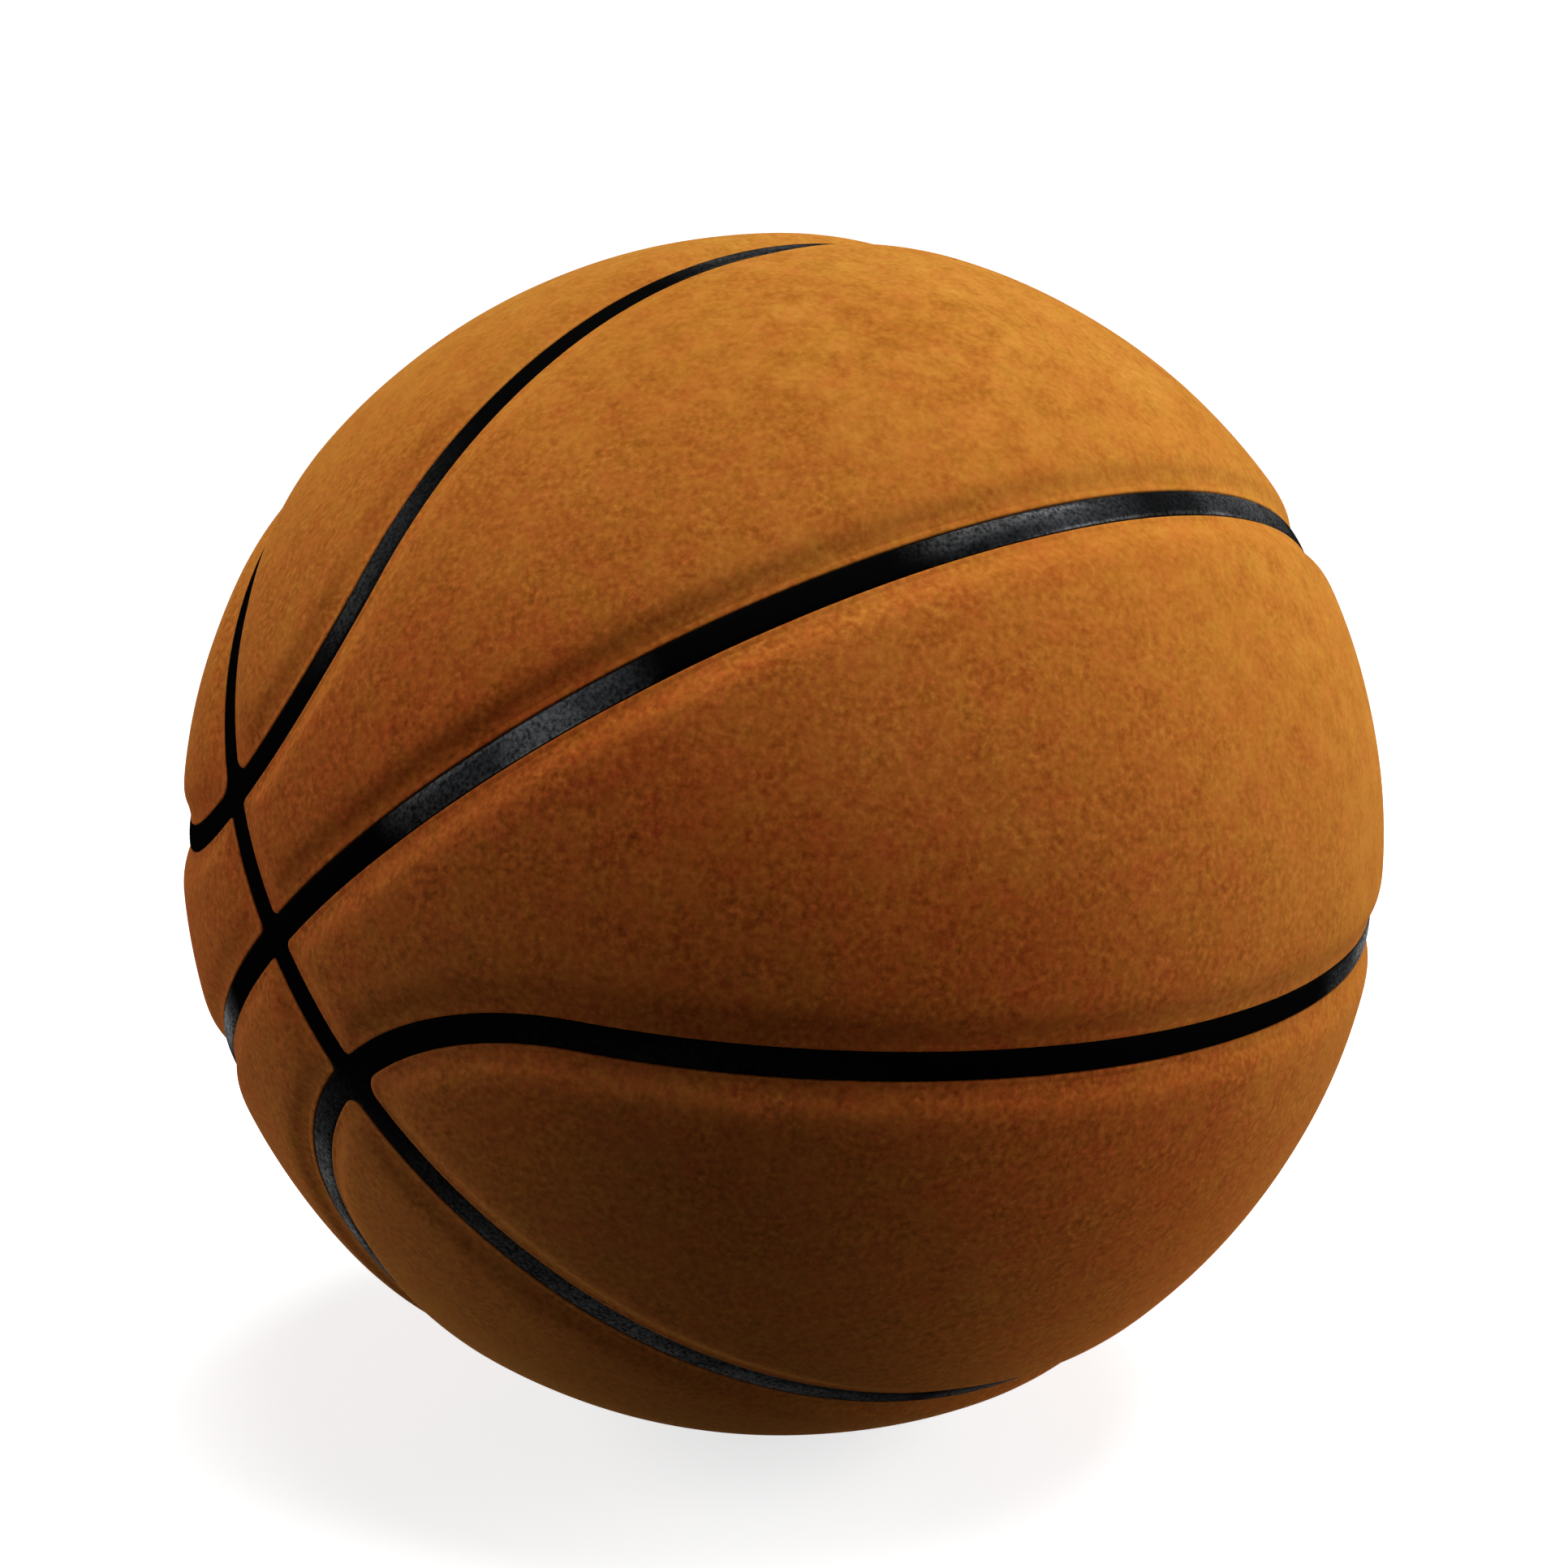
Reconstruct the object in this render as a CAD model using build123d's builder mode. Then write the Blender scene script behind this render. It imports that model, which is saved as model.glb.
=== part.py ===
from build123d import *
import os
from math import acos, atan2, cos, degrees, radians, sin

os.makedirs("parts", exist_ok=True)

# Basketball with eight cover panels, millimetres and degrees.
# The seams are laid out in the ball's own frame: +Y and -Y are the two poles where the
# great circles cross, the equator lies in the XY plane and the cross seam in the YZ plane.
BALL_DIAMETER = 242.0
CROWN_RADIUS = BALL_DIAMETER / 2

# How the ball lies: turns about its own X, Y and Z that bring it to the laid position.
LIE_TURN = (46.142, 31.411, 119.087)

# Seam layout: angle of the two loop sides from the equator, and the loops' gap to the poles.
LOOP_TILT = 45.0
POLE_GAP = 13.57

# Wall build-up from the outside in, with a thin film of cement between layers.
LEATHER_THICKNESS = 1.4
FOAM_THICKNESS = 2.0
CARCASS_THICKNESS = 1.2
WINDING_THICKNESS = 0.6
BLADDER_THICKNESS = 0.8
CEMENT_FILM = 0.1

# Rubber ribs of the carcass that show between the panels.
RIB_WIDTH = 5.5
RIB_CROWN_DEPTH = 1.85
RIB_EDGE_ROUND = 0.7
RIB_SIDE_CLEARANCE = 0.15
EDGE_SHARES = (0.1, 0.5, 0.9)

# Valley between two panels: offsets from the seam line and the shares of the depth there. The
# flank runs straight from the first of them down past the panel's edge; the last one is in the air.
VALLEY_OFFSETS = (7.2, 9.4, 14.0)
VALLEY_DEPTH_SHARES = (0.34, 0.11, -0.07)
VALLEY_MIDDLE_OFFSET = 1.2
LINING_EDGE_OFFSET = 2.0
PAD_EDGE_OFFSET = 4.3
SIDE_CORNER_RADIUS = 3.2
BAND_CORNER_RADIUS = 1.3
PAD_CORNER_RADIUS = 2.0

# Cutting shapes stand past the wall by this much.
OVERSHOOT = 1.5

# Valve in the middle of one band panel, at this angle from the -Z pole towards +X.
VALVE_ANGLE = 22.5
VALVE_FLANGE_RADIUS = 17.0
VALVE_FLANGE_THICKNESS = 1.5
VALVE_NECK_RADIUS = 4.5
VALVE_NECK_RECESS = 0.5
VALVE_STEM_RADIUS = 5.5
VALVE_STEM_LENGTH = 16.0
VALVE_HOLE_CLEARANCE = 0.15
PLUG_RADIUS = 3.0
PLUG_CLEARANCE = 0.08
PLUG_HEAD_RADIUS = 3.7
PLUG_HEAD_THICKNESS = 1.3
PLUG_HEAD_RECESS = 0.3
PLUG_TAIL = 1.6
PLUG_TAIL_CHAMFER = 0.6
NEEDLE_BORE_RADIUS = 1.0
NEEDLE_BORE_DEPTH = 15.0
NEEDLE_MOUTH_RADIUS = 1.7
NEEDLE_MOUTH_DEPTH = 0.6
BALANCE_PATCH_RADIUS = 13.0
BALANCE_PATCH_THICKNESS = 1.5

# Radii of the layers.
LEATHER_INSIDE = CROWN_RADIUS - LEATHER_THICKNESS
FOAM_OUTSIDE = LEATHER_INSIDE - CEMENT_FILM
FOAM_INSIDE = FOAM_OUTSIDE - FOAM_THICKNESS
CARCASS_OUTSIDE = FOAM_INSIDE - CEMENT_FILM
CARCASS_INSIDE = CARCASS_OUTSIDE - CARCASS_THICKNESS
WINDING_OUTSIDE = CARCASS_INSIDE - CEMENT_FILM
WINDING_INSIDE = WINDING_OUTSIDE - WINDING_THICKNESS
BLADDER_OUTSIDE = WINDING_INSIDE - CEMENT_FILM
BLADDER_INSIDE = BLADDER_OUTSIDE - BLADDER_THICKNESS
PATCH_OUTSIDE = BLADDER_INSIDE - CEMENT_FILM
flange_level = PATCH_OUTSIDE - VALVE_FLANGE_THICKNESS

# At its edge the leather lies on the carcass, so the valley is as deep as the foam it leaves.
VALLEY_DEPTH = FOAM_THICKNESS + CEMENT_FILM
PANEL_EDGE_OFFSET = RIB_WIDTH / 2 + RIB_SIDE_CLEARANCE
RIB_TOP = CROWN_RADIUS - RIB_CROWN_DEPTH

# Loop geometry: round ends of this angular radius, centred on the equator, tangent to the
# loop's two straight sides.
tilt_sine = sin(radians(LOOP_TILT))
gap = radians(POLE_GAP)
end_radius = atan2(sin(gap) * tilt_sine, 1 - cos(gap) * tilt_sine)
end_centre = gap + end_radius
end_sweep = acos(cos(end_centre) * tilt_sine / cos(end_radius))
side_start = acos(cos(end_centre) / cos(end_radius))

# The ball's sphere primitives have their poles and their closing edge on the seams.
SPHERE_TURN = (-90.0, 0, 0)


def polar(offset, radius):
    # A point of the seam's cross-section: offset along the crown from the seam line, radius.
    angle = offset / CROWN_RADIUS
    return (radius * cos(angle), radius * sin(angle))


def great_circle(first, axle):
    # A full ring: plane of its cross-section, the axis that it turns about, and its arc.
    return Plane((0, 0, 0), x_dir=first, z_dir=axle.cross(first)), Axis((0, 0, 0), axle), 360.0


def loop_end(y_sign):
    # The round end of a loop, an arc about its own centre on the equator.
    heart = Vector(sin(end_centre), y_sign * cos(end_centre), 0)
    mouth = Vector(sin(gap), y_sign * cos(gap), 0)
    turn = Axis((0, 0, 0), heart)
    first = mouth.rotate(turn, -degrees(end_sweep))
    return Plane((0, 0, 0), x_dir=first, z_dir=heart.cross(first)), turn, 2 * degrees(end_sweep)


def loop_side():
    # The straight side of a loop, part of a great circle through the two poles.
    pole = Vector(0, 1, 0)
    outward = Vector(cos(radians(LOOP_TILT)), 0, tilt_sine)
    axle = pole.cross(outward)
    first = pole * cos(side_start) + outward * sin(side_start)
    arc = 180.0 - 2 * degrees(side_start)
    return Plane((0, 0, 0), x_dir=first, z_dir=axle.cross(first)), Axis((0, 0, 0), axle), arc


# The seams around the quarter with +X and +Z, where one panel of each kind is made.
equator = great_circle(Vector(1, 0, 0), Vector(0, 0, 1))
cross_seam = great_circle(Vector(0, 1, 0), Vector(1, 0, 0))
loop_seams = [loop_end(1), loop_side(), loop_end(-1)]
quarter_seams = [equator, cross_seam] + loop_seams


def seam_body(seam, outline):
    # The outline is half of the cross-section, from the seam line outwards; both sides alike.
    section, turn, arc = seam
    mirrored = [(x, -y) for x, y in reversed(outline)]
    with BuildPart() as body:
        with BuildSketch(section):
            with BuildLine():
                Polyline(*outline, *mirrored, close=True)
            make_face()
        revolve(axis=turn, revolution_arc=arc)
    return body.part


def slot(seam, offset):
    # A slot right through the wall, with parallel sides.
    low = CARCASS_INSIDE - OVERSHOOT
    high = CROWN_RADIUS + OVERSHOOT
    return seam_body(seam, [(low, offset), (high, offset)])


def valley(seam, sink):
    # What the valley takes away, sunk below the outer face of the leather by this much.
    fall = (1 - VALLEY_DEPTH_SHARES[0]) / (VALLEY_OFFSETS[0] - PANEL_EDGE_OFFSET)
    middle_share = 1 + fall * (PANEL_EDGE_OFFSET - VALLEY_MIDDLE_OFFSET)
    offsets = (VALLEY_MIDDLE_OFFSET,) + VALLEY_OFFSETS
    depth_shares = (middle_share,) + VALLEY_DEPTH_SHARES
    outline = []
    for offset, share in zip(offsets, depth_shares):
        outline.append(polar(offset, CROWN_RADIUS - VALLEY_DEPTH * share - sink))
    outline.append(polar(offsets[-1], CROWN_RADIUS + OVERSHOOT))
    return seam_body(seam, outline)


valve_way = Vector(sin(radians(VALVE_ANGLE)), 0, -cos(radians(VALVE_ANGLE)))
valve_plane = Plane((0, 0, 0), x_dir=(0, 1, 0), z_dir=valve_way)
valve_axis = Axis((0, 0, 0), valve_way)
across_way = Vector(0, 1, 0)
valve_section = Plane((0, 0, 0), x_dir=across_way, z_dir=across_way.cross(valve_way))
balance_section = Plane((0, 0, 0), x_dir=across_way, z_dir=valve_way.cross(across_way))


def on_ball(distance, radius):
    # A point at that distance from the valve's axis, on the ball of that radius.
    return (distance, (radius * radius - distance * distance) ** 0.5)


def lay(piece, name):
    # Turns the finished piece to the way the ball lies and writes it.
    with BuildPart() as laid:
        add(piece, rotation=LIE_TURN)
    laid.part.label = name
    export_step(laid.part, f"parts/{name}.step")


NECK_HOLE_RADIUS = VALVE_NECK_RADIUS + VALVE_HOLE_CLEARANCE

# Passage of the valve's neck through the layers around it.
with BuildPart() as valve_passage:
    with BuildSketch(valve_plane.offset(flange_level)):
        Circle(NECK_HOLE_RADIUS)
    extrude(amount=CROWN_RADIUS + OVERSHOOT - flange_level)

# Bladder: thin round bag of butyl rubber with one hole for the valve's neck.
with BuildPart() as bladder:
    Sphere(BLADDER_OUTSIDE, rotation=SPHERE_TURN)
    Sphere(BLADDER_INSIDE, rotation=SPHERE_TURN, mode=Mode.SUBTRACT)
    add(valve_passage.part, mode=Mode.SUBTRACT)
lay(bladder.part, "bladder")

# Valve housing: flange cemented inside the bladder, a stem inwards and a neck outwards, with a
# stepped bore for the plug; turned about the valve's axis.
neck_top = CROWN_RADIUS - VALVE_NECK_RECESS
stem_bottom = flange_level - VALVE_STEM_LENGTH
head_top = neck_top - PLUG_HEAD_RECESS
head_floor = head_top - PLUG_HEAD_THICKNESS
housing_bore = PLUG_RADIUS + PLUG_CLEARANCE
head_bore = PLUG_HEAD_RADIUS + PLUG_CLEARANCE
seat_level = head_floor - PLUG_CLEARANCE
with BuildPart() as valve_housing:
    with BuildSketch(valve_section):
        with BuildLine():
            Polyline((housing_bore, stem_bottom), (VALVE_STEM_RADIUS, stem_bottom),
                     on_ball(VALVE_STEM_RADIUS, flange_level))
            ThreePointArc(on_ball(VALVE_STEM_RADIUS, flange_level),
                          on_ball((VALVE_STEM_RADIUS + VALVE_FLANGE_RADIUS) / 2, flange_level),
                          on_ball(VALVE_FLANGE_RADIUS, flange_level))
            Line(on_ball(VALVE_FLANGE_RADIUS, flange_level),
                 on_ball(VALVE_FLANGE_RADIUS, PATCH_OUTSIDE))
            ThreePointArc(on_ball(VALVE_FLANGE_RADIUS, PATCH_OUTSIDE),
                          on_ball((VALVE_NECK_RADIUS + VALVE_FLANGE_RADIUS) / 2, PATCH_OUTSIDE),
                          on_ball(VALVE_NECK_RADIUS, PATCH_OUTSIDE))
            Polyline(on_ball(VALVE_NECK_RADIUS, PATCH_OUTSIDE), (VALVE_NECK_RADIUS, neck_top),
                     (head_bore, neck_top), (head_bore, seat_level),
                     (housing_bore, seat_level), (housing_bore, stem_bottom))
        make_face()
    revolve(axis=valve_axis)
lay(valve_housing.part, "valve_housing")

# Valve plug: soft self-closing plug with a head, a needle bore and a tapered tail.
plug_bottom = stem_bottom - PLUG_TAIL
bore_floor = head_top - NEEDLE_BORE_DEPTH
with BuildPart() as valve_plug:
    with BuildSketch(valve_section):
        with BuildLine():
            Polyline((0, plug_bottom), (PLUG_RADIUS - PLUG_TAIL_CHAMFER, plug_bottom),
                     (PLUG_RADIUS, plug_bottom + PLUG_TAIL_CHAMFER), (PLUG_RADIUS, head_floor),
                     (PLUG_HEAD_RADIUS, head_floor), (PLUG_HEAD_RADIUS, head_top),
                     (NEEDLE_MOUTH_RADIUS, head_top),
                     (NEEDLE_BORE_RADIUS, head_top - NEEDLE_MOUTH_DEPTH),
                     (NEEDLE_BORE_RADIUS, bore_floor), (0, bore_floor), close=True)
        make_face()
    revolve(axis=valve_axis)
lay(valve_plug.part, "valve_plug")

# Balance patch: rubber disc cemented inside the bladder, opposite the valve.
patch_inside = PATCH_OUTSIDE - BALANCE_PATCH_THICKNESS
with BuildPart() as balance_patch:
    with BuildSketch(balance_section):
        with BuildLine():
            Line((0, patch_inside), (0, PATCH_OUTSIDE))
            ThreePointArc((0, PATCH_OUTSIDE), on_ball(BALANCE_PATCH_RADIUS / 2, PATCH_OUTSIDE),
                          on_ball(BALANCE_PATCH_RADIUS, PATCH_OUTSIDE))
            Line(on_ball(BALANCE_PATCH_RADIUS, PATCH_OUTSIDE),
                 on_ball(BALANCE_PATCH_RADIUS, patch_inside))
            ThreePointArc(on_ball(BALANCE_PATCH_RADIUS, patch_inside),
                          on_ball(BALANCE_PATCH_RADIUS / 2, patch_inside), (0, patch_inside))
        make_face()
    revolve(axis=valve_axis)
lay(balance_patch.part, "balance_patch")

# Thread winding: the layer of nylon thread wound around the bladder, as one thin shell.
with BuildPart() as thread_winding:
    Sphere(WINDING_OUTSIDE, rotation=SPHERE_TURN)
    Sphere(WINDING_INSIDE, rotation=SPHERE_TURN, mode=Mode.SUBTRACT)
    add(valve_passage.part, mode=Mode.SUBTRACT)
lay(thread_winding.part, "thread_winding")

# Places of the four equal panels of a kind: turns about X, Y and Z of the ball.
PLACES = ((0, 0, 0), (180.0, 0, 0), (0, 180.0, 0), (0, 0, 180.0))
VALVE_PLACE = 1


def block(kind, offset, inside, outside, corner_radius):
    # The wall of one panel out to the seams around it, with its corners at the equator rounded.
    with BuildPart() as loop:
        for seam in loop_seams:
            add(slot(seam, offset))
    with BuildPart() as quarter:
        Sphere(outside, rotation=SPHERE_TURN)
        Sphere(inside, rotation=SPHERE_TURN, mode=Mode.SUBTRACT)
        with Locations((offset, 0, offset)):
            Box(BALL_DIAMETER, BALL_DIAMETER + OVERSHOOT, BALL_DIAMETER,
                align=(Align.MIN, Align.CENTER, Align.MIN), mode=Mode.INTERSECT)
        add(loop.part, mode=Mode.SUBTRACT)
    kind_axis = {"side": Axis.X, "band": Axis.Z}[kind]
    with BuildPart() as piece:
        add(quarter.part.solids().sort_by(kind_axis)[-1])
        if corner_radius:
            upright = 2 * (outside - inside)
            level = 2 * offset
            turns = piece.edges().filter_by(lambda e: e.length < upright and e.center().Z < level)
            fillet(turns, corner_radius)
    return piece.part


def with_valleys(piece, sink):
    # Lowers the outer face towards the seams.
    with BuildPart() as dressed:
        add(piece)
        for seam in quarter_seams:
            add(valley(seam, sink), mode=Mode.SUBTRACT)
    return dressed.part


corner_radii = {"side": SIDE_CORNER_RADIUS, "band": BAND_CORNER_RADIUS}
leather_floor = CARCASS_OUTSIDE - CEMENT_FILM
lining_floor = leather_floor - CEMENT_FILM
rib_half = RIB_WIDTH / 2
rib_shoulder = RIB_TOP - RIB_EDGE_ROUND / 2

# Carcass: moulded rubber shell, with the ribs left standing between eight shallow fields that
# the panels are laid into.
fields = []
for kind, corner_radius in corner_radii.items():
    fields.append(block(kind, rib_half, CARCASS_OUTSIDE, CROWN_RADIUS,
                        corner_radius + RIB_SIDE_CLEARANCE))
with BuildPart() as carcass:
    Sphere(RIB_TOP, rotation=SPHERE_TURN)
    Sphere(CARCASS_INSIDE, rotation=SPHERE_TURN, mode=Mode.SUBTRACT)
    for field in fields:
        for turn in PLACES:
            add(field, rotation=turn, mode=Mode.SUBTRACT)
    rib_edges = carcass.edges()
    for share in EDGE_SHARES:
        rib_edges = rib_edges.filter_by(lambda e: (e @ share).length > rib_shoulder)
    fillet(rib_edges, RIB_EDGE_ROUND)
    add(valve_passage.part, mode=Mode.SUBTRACT)
lay(carcass.part, "carcass")

for kind, corner_radius in corner_radii.items():
    # Cover panel: leather over the foam, drawn down to the carcass along its edge.
    leather = block(kind, PANEL_EDGE_OFFSET, leather_floor, CROWN_RADIUS, corner_radius)
    lining = block(kind, LINING_EDGE_OFFSET, lining_floor, LEATHER_INSIDE, 0)
    with BuildPart() as panel:
        add(with_valleys(leather, 0))
        add(with_valleys(lining, LEATHER_THICKNESS), mode=Mode.SUBTRACT)
    # Foam pad: skived thin towards its edge, between the leather and the carcass.
    foam = block(kind, PAD_EDGE_OFFSET, FOAM_INSIDE, FOAM_OUTSIDE, PAD_CORNER_RADIUS)
    pad = with_valleys(foam, LEATHER_THICKNESS + CEMENT_FILM)
    for place, turn in enumerate(PLACES):
        with_valve = kind == "band" and place == VALVE_PLACE
        with BuildPart() as placed_panel:
            add(panel.part, rotation=turn)
            if with_valve:
                add(valve_passage.part, mode=Mode.SUBTRACT)
        lay(placed_panel.part, f"{kind}_panel_{place + 1}")
        with BuildPart() as placed_pad:
            add(pad, rotation=turn)
            if with_valve:
                add(valve_passage.part, mode=Mode.SUBTRACT)
        lay(placed_pad.part, f"{kind}_pad_{place + 1}")
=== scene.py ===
import math
import bpy
import bmesh
from mathutils import Matrix, Vector, noise


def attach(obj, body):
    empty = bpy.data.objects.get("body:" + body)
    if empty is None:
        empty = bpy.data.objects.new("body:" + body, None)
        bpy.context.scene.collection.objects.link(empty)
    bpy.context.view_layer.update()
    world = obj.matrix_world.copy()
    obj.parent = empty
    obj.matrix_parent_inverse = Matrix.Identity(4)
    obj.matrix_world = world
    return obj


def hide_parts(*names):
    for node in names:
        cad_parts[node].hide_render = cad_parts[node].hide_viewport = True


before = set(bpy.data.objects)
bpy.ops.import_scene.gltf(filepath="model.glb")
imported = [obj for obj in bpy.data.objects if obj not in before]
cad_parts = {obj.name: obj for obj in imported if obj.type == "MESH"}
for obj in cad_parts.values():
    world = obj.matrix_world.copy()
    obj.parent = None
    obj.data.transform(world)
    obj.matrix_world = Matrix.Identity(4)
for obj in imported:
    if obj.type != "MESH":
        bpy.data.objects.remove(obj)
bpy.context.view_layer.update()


# Bladder and balance patch
# The bladder is a butyl rubber balloon, moulded in halves and blown up inside the winding.
# A butyl disc cemented inside it, across from the valve, balances the valve's weight.
MM_IN_METRE = 1000


def linear(code):
    """An sRGB hex colour as linear red, green, blue and alpha."""
    parts = [int(code[i:i + 2], 16) / 255 for i in (1, 3, 5)]
    return [p / 12.92 if p <= 0.04045 else ((p + 0.055) / 1.055) ** 2.4 for p in parts] + [1]


def feed(tree, node, inputs):
    """Sets a node's sockets, each to a value or to a link from another node."""
    for name, value in inputs.items():
        if isinstance(value, bpy.types.NodeSocket):
            tree.links.new(value, node.inputs[name])
        else:
            node.inputs[name].default_value = value


def add(tree, kind, inputs=None, **settings):
    """One shader node: settings are its own values, inputs its sockets' values or links."""
    node = tree.nodes.new("ShaderNode" + kind)
    for name, value in settings.items():
        setattr(node, name, value)
    feed(tree, node, inputs or {})
    return node


def new_finish(name):
    """A new material, its node tree, its shader and the place of a point on the piece."""
    material = bpy.data.materials.new(name)
    material.use_nodes = True
    tree = material.node_tree
    place = add(tree, "TexCoord").outputs["Object"]
    return material, tree, tree.nodes["Principled BSDF"], place


def lumps(size_mm):
    """The noise scale, in metres, that gives lumps of that size in millimetres."""
    return MM_IN_METRE / size_mm


def finish_node(name, material):
    """Gives a CAD node's own mesh its material."""
    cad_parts[name].data.materials.clear()
    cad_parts[name].data.materials.append(material)


# Moulded butyl rubber: dull black under a grey bloom of talc, which keeps it from sticking.
# A Mix node's two colours are its sockets 6 and 7, and the mixed colour is its output 2.
TALC_CLOUD_MM = 14
FACTOR, FIRST, SECOND, MIXED = 0, 6, 7, 2
butyl, tree, shader, place = new_finish("moulded_butyl_rubber")
talc = add(tree, "TexNoise", {"Vector": place, "Scale": lumps(TALC_CLOUD_MM), "Detail": 6})
bloom = add(tree, "Mix", {FACTOR: talc.outputs["Fac"], FIRST: linear("#161617"),
                          SECOND: linear("#3a3a3b")}, data_type="RGBA")
dulled = add(tree, "MapRange", {"Value": talc.outputs["Fac"], "To Min": 0.55, "To Max": 0.8})
feed(tree, shader, {"Base Color": bloom.outputs[MIXED], "Roughness": dulled.outputs["Result"],
                    "IOR": 1.51})
for name in ("bladder", "balance_patch"):
    finish_node(name, butyl)


# Valve housing and plug
# The housing is a rubber tube with a wide flange, vulcanised into the bladder, whose neck comes
# up through the cover. The plug is a softer rubber stem pressed into it, bored for the needle.
SEAM_TURN = [math.radians(a) for a in (46.142, 31.411, 119.087)]
seams_to_ball = (Matrix.Rotation(SEAM_TURN[0], 4, "X") @ Matrix.Rotation(SEAM_TURN[1], 4, "Y")
                 @ Matrix.Rotation(SEAM_TURN[2], 4, "Z"))
VALVE_ANGLE = math.radians(22.5)
valve_way = Vector((math.sin(VALVE_ANGLE), 0, -math.cos(VALVE_ANGLE)))
valve_turn = valve_way.to_track_quat("Z", "Y").to_matrix().to_4x4()
SPIN_STEPS = 72
SPIN_WELD = 0.001
SHARP_EDGE = math.radians(35)
ROUNDING_STEPS = 3


def place_piece(name, bm, material, body, nodes):
    """Turns a bmesh, drawn in millimetres about the seams, to its place on the ball as a piece."""
    to_ball = Matrix.Scale(1 / MM_IN_METRE, 4) @ seams_to_ball
    bmesh.ops.transform(bm, matrix=to_ball, verts=bm.verts)
    for face in bm.faces:
        face.smooth = True
    mesh = bpy.data.meshes.new(name)
    bm.to_mesh(mesh)
    bm.free()
    piece = bpy.data.objects.new(name, mesh)
    bpy.context.scene.collection.objects.link(piece)
    mesh.materials.append(material)
    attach(piece, body)
    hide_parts(*nodes)
    return piece


def dome(radius, level):
    """A point of a section about the valve's axis, on a sphere of that size about the ball's
    centre."""
    return radius, math.sqrt(level * level - radius * radius)


def spun_rubber(section, rounding):
    """A moulded round piece: a closed section of (radius, height) spun about the valve's axis."""
    bm = bmesh.new()
    ring = [bm.verts.new((radius, 0, height)) for radius, height in section]
    edges = [bm.edges.new((a, b)) for a, b in zip(ring, ring[1:] + ring[:1])
             if a.co.x + b.co.x > 0]
    bmesh.ops.spin(bm, geom=ring + edges, axis=(0, 0, 1), angle=math.tau, steps=SPIN_STEPS,
                   use_merge=True)
    bmesh.ops.remove_doubles(bm, verts=bm.verts, dist=SPIN_WELD)
    bmesh.ops.recalc_face_normals(bm, faces=bm.faces)
    sharp = [e for e in bm.edges if e.is_manifold and e.calc_face_angle() > SHARP_EDGE]
    bmesh.ops.bevel(bm, geom=sharp, offset=rounding, affect="EDGES", segments=ROUNDING_STEPS,
                    profile=0.5, material=-1)
    bmesh.ops.transform(bm, matrix=valve_turn, verts=bm.verts)
    return bm


# Soft valve rubber: matt black, a little polished where the needle and fingers rub it.
RUB_MM = 1.6
valve_rubber, tree, shader, place = new_finish("soft_valve_rubber")
rubbed = add(tree, "TexNoise", {"Vector": place, "Scale": lumps(RUB_MM), "Detail": 5})
tone = add(tree, "Mix", {FACTOR: rubbed.outputs["Fac"], FIRST: linear("#0d0d0e"),
                         SECOND: linear("#252526")}, data_type="RGBA")
polish = add(tree, "MapRange", {"Value": rubbed.outputs["Fac"], "To Min": 0.42, "To Max": 0.62})
moulded = add(tree, "Bump", {"Height": rubbed.outputs["Fac"], "Strength": 0.15,
                             "Distance": 0.0001})
feed(tree, shader, {"Base Color": tone.outputs[MIXED], "Roughness": polish.outputs["Result"],
                    "Normal": moulded.outputs["Normal"], "IOR": 1.52, "Specular IOR Level": 0.2})

# The ball's sizes are in millimetres, and heights and levels count from its centre.
# The flange bends with the bladder, a little way out from the stem and the neck.
NECK_TOP = 120.5
NECK_RADIUS = 4.5
STEM_RADIUS = 5.5
STEM_BOTTOM = 97.0
FLANGE_RADIUS = 17.0
FLANGE_FLOOR = 113.0
FLANGE_TOP = 114.5
FLANGE_BEND = 5
BORE_RADIUS = 3.08
HEAD_BORE_RADIUS = 3.78
HEAD_SEAT = 118.82
HOUSING_ROUNDING = 0.18
housing_section = [(BORE_RADIUS, STEM_BOTTOM), (STEM_RADIUS, STEM_BOTTOM),
                   dome(STEM_RADIUS, FLANGE_FLOOR),
                   dome(STEM_RADIUS + FLANGE_BEND, FLANGE_FLOOR),
                   dome(FLANGE_RADIUS, FLANGE_FLOOR), dome(FLANGE_RADIUS, FLANGE_TOP),
                   dome(NECK_RADIUS + FLANGE_BEND, FLANGE_TOP), dome(NECK_RADIUS, FLANGE_TOP),
                   (NECK_RADIUS, NECK_TOP), (HEAD_BORE_RADIUS, NECK_TOP),
                   (HEAD_BORE_RADIUS, HEAD_SEAT), (BORE_RADIUS, HEAD_SEAT)]
place_piece("valve_housing_visual", spun_rubber(housing_section, HOUSING_ROUNDING), valve_rubber,
            "ball", ["valve_housing"])

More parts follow.
